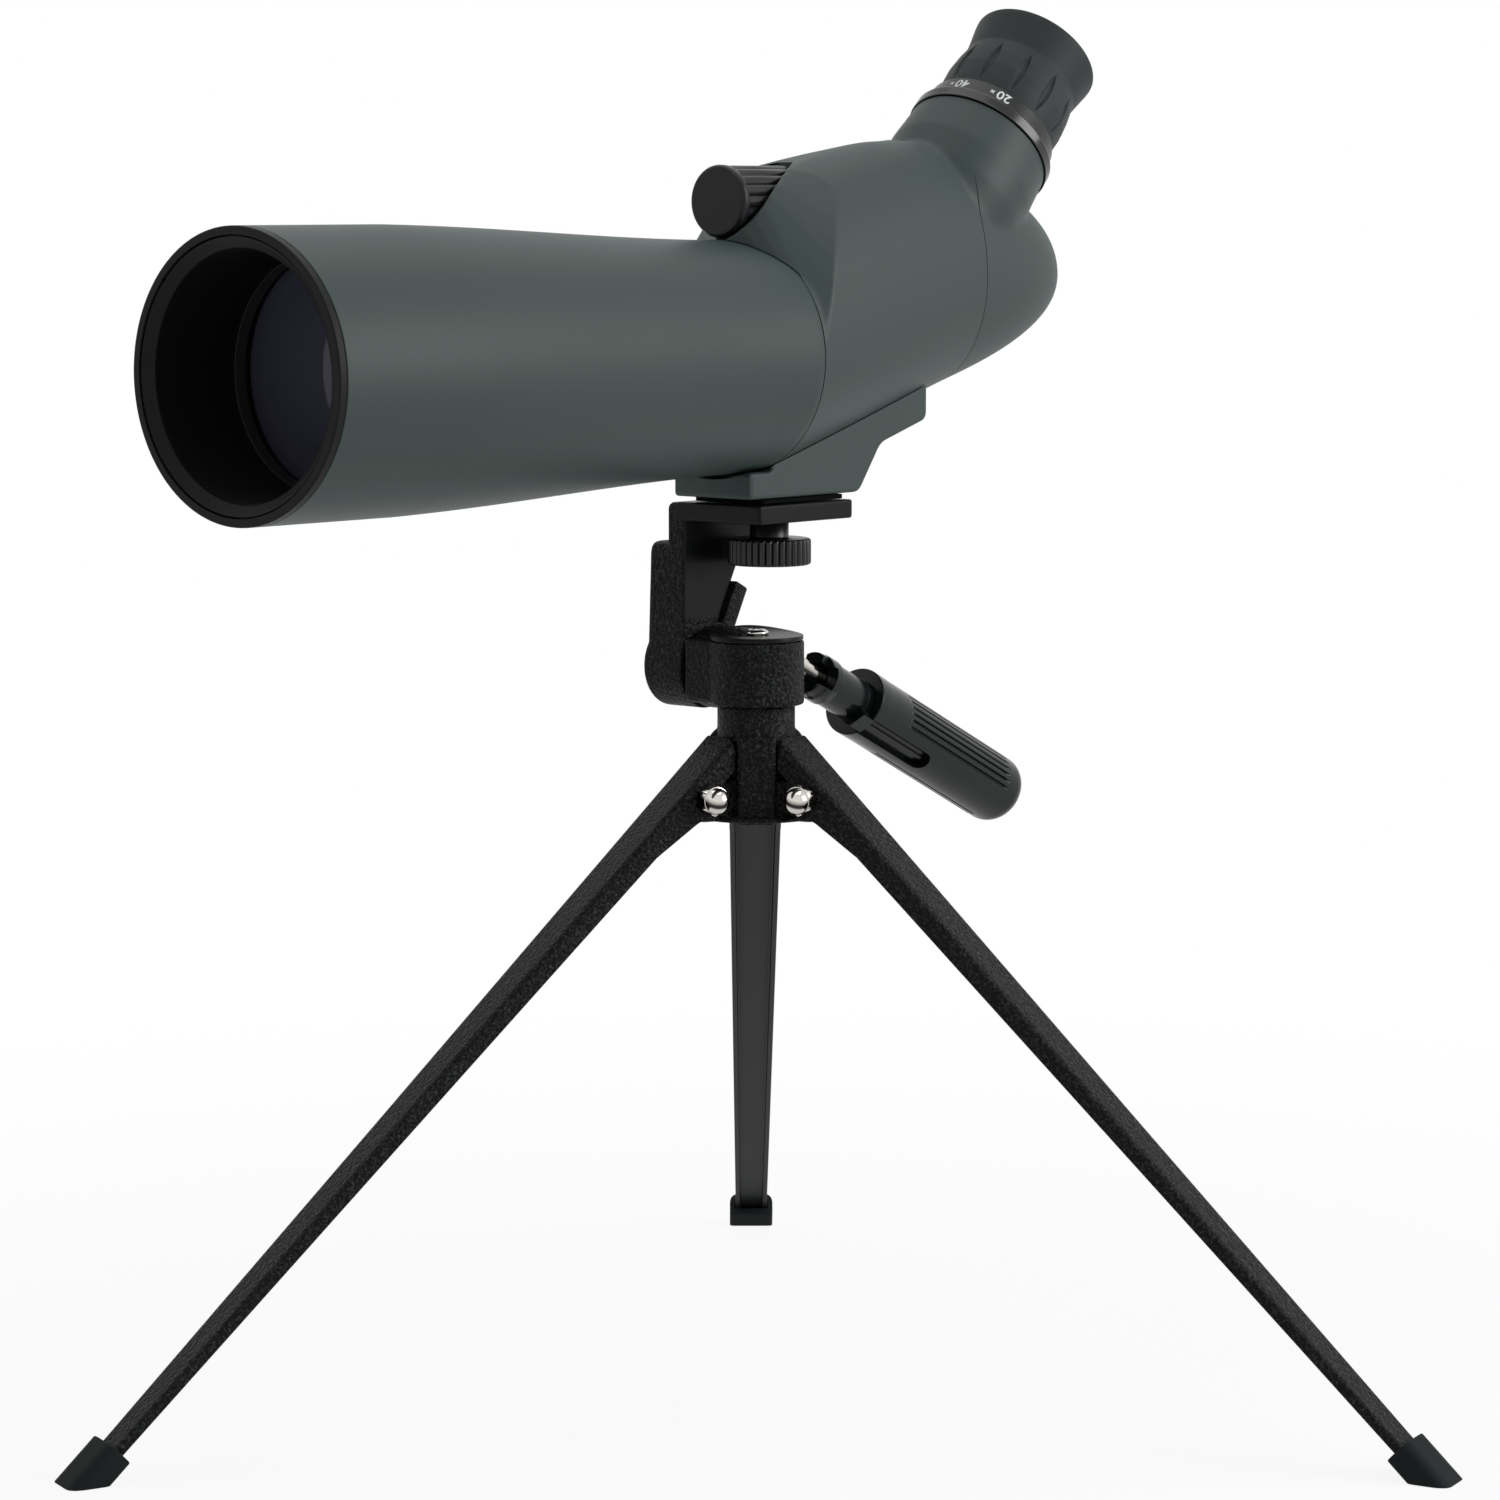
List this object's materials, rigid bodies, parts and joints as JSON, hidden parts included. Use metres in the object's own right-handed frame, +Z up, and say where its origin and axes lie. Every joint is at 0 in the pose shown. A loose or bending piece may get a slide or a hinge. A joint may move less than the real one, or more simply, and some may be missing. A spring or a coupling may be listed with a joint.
{
  "type": "spotting scope",
  "caption": "Angled zoom spotting scope with a flared hooded tube, top focus knob and ribbed eyepiece, clamped to the tilting pan head of a small folding tripod with rubber feet.",
  "frame": {"origin": "centre of the bounding box on the plane that the rubber feet stand on", "axes": "+Z up, the objective looks along -Y, +X is to the left of someone at the eyepiece"},
  "size_m": [0.356, 0.3688, 0.3978],
  "materials": {
    "green": "semi-matt grey-green paint",
    "rim_black": "satin black anodised",
    "baffle_black": "dull anti-reflection black",
    "knob_black": "satin black moulding",
    "wheel_black": "black moulding",
    "disc_black": "satin black",
    "handle_gloss": "glossy black moulding",
    "grip_rubber": "dark grey rubber",
    "foot_rubber": "black rubber",
    "pad_rubber": "black pad",
    "wrinkle_black": "textured black",
    "bright_chrome": "polished",
    "plain_steel": "plain",
    "bush_brass": "turned",
    "coated_glass": "violet-green coated"
  },
  "bodies": {
    "tripod": {"tripod_hub": "wrinkle_black", "pan_screw": "bright_chrome", "leg_bolt_1": "bright_chrome", "leg_bolt_2": "bright_chrome", "leg_bolt_3": "bright_chrome", "acorn_nut_1": "bright_chrome", "acorn_nut_2": "bright_chrome", "acorn_nut_3": "bright_chrome"},
    "leg_1": {"tripod_leg_1": "wrinkle_black", "rubber_foot_1": "foot_rubber"},
    "leg_2": {"tripod_leg_2": "wrinkle_black", "rubber_foot_2": "foot_rubber"},
    "leg_3": {"tripod_leg_3": "wrinkle_black", "rubber_foot_3": "foot_rubber"},
    "pan_head": {"pan_body": "wrinkle_black", "pan_disc": "disc_black", "tilt_washer": "plain_steel", "tilt_bolt": "plain_steel"},
    "pan_handle": {"handle_rod": "bright_chrome", "handle_grip": "handle_gloss", "handle_pin": "plain_steel"},
    "scope": {"tilt_bracket": "wrinkle_black", "platform_pad": "pad_rubber", "mounting_foot": "green", "tripod_bush": "bush_brass", "prism_housing": "green", "rear_cover": "green", "front_tube": "green", "objective_ring": "rim_black", "lens_hood": "baffle_black", "lens_cell": "baffle_black", "lens_retainer": "rim_black", "crown_lens": "coated_glass", "lens_spacer": "bush_brass", "flint_lens": "coated_glass", "front_baffle": "baffle_black", "rear_baffle": "baffle_black", "erecting_prism": "coated_glass", "prism_seat": "plain_steel", "eyepiece_collar": "rim_black", "eyepiece_barrel": "rim_black", "eye_lens": "coated_glass", "eye_lens_ring": "rim_black"},
    "clamp_wheel_body": {"clamp_wheel": "wheel_black"},
    "focus_knob_body": {"focus_knob": "knob_black", "focus_screw": "plain_steel"},
    "focus_carriage_body": {"focus_carriage": "knob_black", "focus_lens": "coated_glass"},
    "zoom_ring_body": {"zoom_grip": "grip_rubber", "zoom_scale_ring": "rim_black"},
    "front_zoom_body": {"front_zoom_cell": "knob_black", "front_zoom_lens": "coated_glass"},
    "rear_zoom_body": {"rear_zoom_cell": "knob_black", "rear_zoom_lens": "coated_glass"}
  },
  "joints": [
    {"name": "leg_1_fold", "type": "hinge", "parent": "tripod", "child": "leg_1", "pos_m": [-0.04693, 0.03504, 0.173], "axis": [-0.7536, -0.6574, 0], "range_deg": [0, 44]},
    {"name": "leg_2_fold", "type": "hinge", "parent": "tripod", "child": "leg_2", "pos_m": [-0.04026, 0.00105, 0.173], "axis": [0.9461, -0.3239, 0], "range_deg": [0, 44]},
    {"name": "leg_3_fold", "type": "hinge", "parent": "tripod", "child": "leg_3", "pos_m": [-0.01415, 0.02382, 0.173], "axis": [-0.1925, 0.9813, 0], "range_deg": [0, 44]},
    {"name": "pan_turn", "type": "hinge", "parent": "tripod", "child": "pan_head", "pos_m": [-0.03378, 0.01997, 0.1983], "axis": [0, 0, 1], "continuous": true},
    {"name": "tilt", "type": "hinge", "parent": "pan_head", "child": "scope", "pos_m": [-0.05198, 0.01997, 0.208], "axis": [1, 0, 0], "range_deg": [0, 45]},
    {"name": "handle_twist", "type": "hinge", "parent": "pan_head", "child": "pan_handle", "pos_m": [-0.03378, 0.01997, 0.2169], "axis": [0, 0.8988, -0.4384], "range_deg": [-90, 0]},
    {"name": "clamp_wheel_turn", "type": "hinge", "parent": "scope", "child": "clamp_wheel_body", "pos_m": [-0.03768, 0.03027, 0.2503], "axis": [0, 0, 1], "continuous": true},
    {"name": "focus_turn", "type": "hinge", "parent": "scope", "child": "focus_knob_body", "pos_m": [-0.03768, 0.00757, 0.3408], "axis": [0, 1, 0], "range_deg": [-540, 540]},
    {"name": "focus_slide", "type": "slide", "parent": "scope", "child": "focus_carriage_body", "axis": [0, 1, 0], "range_m": [-0.0045, 0.0045]},
    {"name": "zoom_turn", "type": "hinge", "parent": "scope", "child": "zoom_ring_body", "pos_m": [-0.03768, 0.06697, 0.2971], "axis": [0, 0.7071, 0.7071], "range_deg": [0, 120]},
    {"name": "front_zoom_slide", "type": "slide", "parent": "scope", "child": "front_zoom_body", "axis": [0, 0.7071, 0.7071], "range_m": [0, 0.0045]},
    {"name": "rear_zoom_slide", "type": "slide", "parent": "scope", "child": "rear_zoom_body", "axis": [0, 0.7071, 0.7071], "range_m": [-0.009, 0]}
  ],
  "couplings": [
    {"joint": "focus_slide", "follows": "focus_turn", "m_per_rad": 0.00046685},
    {"joint": "front_zoom_slide", "follows": "zoom_turn", "m_per_rad": 0.0021008},
    {"joint": "rear_zoom_slide", "follows": "zoom_turn", "m_per_rad": -0.0042017}
  ]
}
